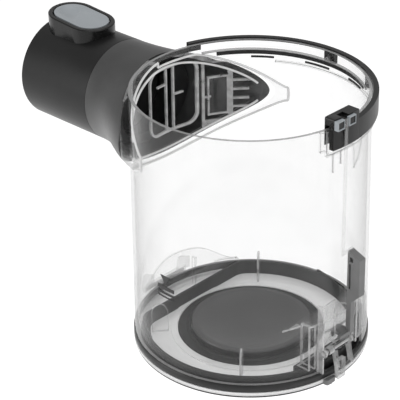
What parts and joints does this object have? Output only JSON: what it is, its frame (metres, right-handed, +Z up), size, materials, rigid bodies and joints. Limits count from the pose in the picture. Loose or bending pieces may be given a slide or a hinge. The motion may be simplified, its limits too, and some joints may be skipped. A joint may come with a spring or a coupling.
{
  "type": "vacuum cleaner dust container",
  "caption": "Clear round dust container of a bagless canister vacuum with a side hose neck, rocker release button, half ring, latch train and hinged bottom flap.",
  "frame": {"origin": "container axis at the plane it stands on", "axes": "+Z up along the container axis, hose neck along -X, latch and ring clip at +X"},
  "size_m": [0.2835, 0.1671, 0.198],
  "materials": {
    "clear_plastic": "clear polycarbonate, polished",
    "frosted_plastic": "translucent, light texture",
    "charcoal_plastic": "satin, fine grain",
    "graphite_plastic": "satin, fine grain",
    "dark_plastic": "semi gloss",
    "black_plastic": "satin",
    "gloss_black": "high gloss",
    "button_grey": "satin",
    "slider_grey": "satin",
    "dish_grey": "satin",
    "black_rubber": "matte, moulded",
    "grey_print": "printed",
    "spring_steel": "drawn wire"
  },
  "bodies": {
    "container": {"bin_shell": "clear_plastic", "inlet_scoop": "clear_plastic", "neck_mantle": "graphite_plastic", "neck_tube": "charcoal_plastic", "duct_liner": "charcoal_plastic", "inlet_frame": "charcoal_plastic", "latch_pocket": "clear_plastic", "slider_guide": "clear_plastic", "chamber_partition": "clear_plastic", "ring_guard": "clear_plastic", "rim_tabs": "black_plastic", "fill_mark": "grey_print", "inlet_grille": "clear_plastic", "inlet_comb": "clear_plastic", "button_housing": "gloss_black", "button_pin": "spring_steel", "ring_pivot": "spring_steel", "bail_pin": "spring_steel", "hinge_ears": "clear_plastic", "hinge_pin": "frosted_plastic"},
    "button": {"release_button": "button_grey", "button_spring": "spring_steel"},
    "link": {"push_link": "black_plastic"},
    "ring": {"release_ring": "dark_plastic", "clip_block": "gloss_black", "catch_prongs": "button_grey"},
    "slider": {"release_rod": "clear_plastic", "latch_slider": "slider_grey"},
    "bail": {"latch_bail": "clear_plastic", "latch_spring": "spring_steel"},
    "flap": {"flap_plate": "frosted_plastic", "flap_gasket": "black_rubber", "rim_seal": "black_rubber", "floor_fins": "clear_plastic", "centre_dish": "dish_grey", "dish_ring": "black_plastic", "flap_lug": "slider_grey", "latch_keeper": "clear_plastic", "hinge_knuckle": "clear_plastic"}
  },
  "joints": [
    {"name": "button_press", "type": "hinge", "parent": "container", "child": "button", "pos_m": [-0.146, 0, 0.1908], "axis": [0, -1, 0], "range_deg": [0, 4], "stiffness_Nm_per_rad": 2, "springref_deg": -1.72},
    {"name": "link_slide", "type": "slide", "parent": "container", "child": "link", "axis": [1, 0, 0], "range_m": [0, 0.0026]},
    {"name": "ring_rock", "type": "hinge", "parent": "container", "child": "ring", "pos_m": [0, 0, 0.184], "axis": [0, 1, 0], "range_deg": [0, 1.75]},
    {"name": "rod_slide", "type": "slide", "parent": "container", "child": "slider", "axis": [0, 0, -1], "range_m": [0, 0.0026]},
    {"name": "bail_swing", "type": "hinge", "parent": "container", "child": "bail", "pos_m": [0.0844, 0, 0.0285], "axis": [0, -1, 0], "range_deg": [0, 20.5]},
    {"name": "flap_open", "type": "hinge", "parent": "container", "child": "flap", "pos_m": [-0.0872, 0, 0.0064], "axis": [0, 1, 0], "range_deg": [0, 95]}
  ],
  "couplings": [
    {"joint": "link_slide", "follows": "button_press", "m_per_rad": 0.03581},
    {"joint": "ring_rock", "follows": "button_press", "ratio": 0.43},
    {"joint": "rod_slide", "follows": "button_press", "m_per_rad": 0.03581},
    {"joint": "bail_swing", "follows": "button_press", "ratio": 5}
  ]
}
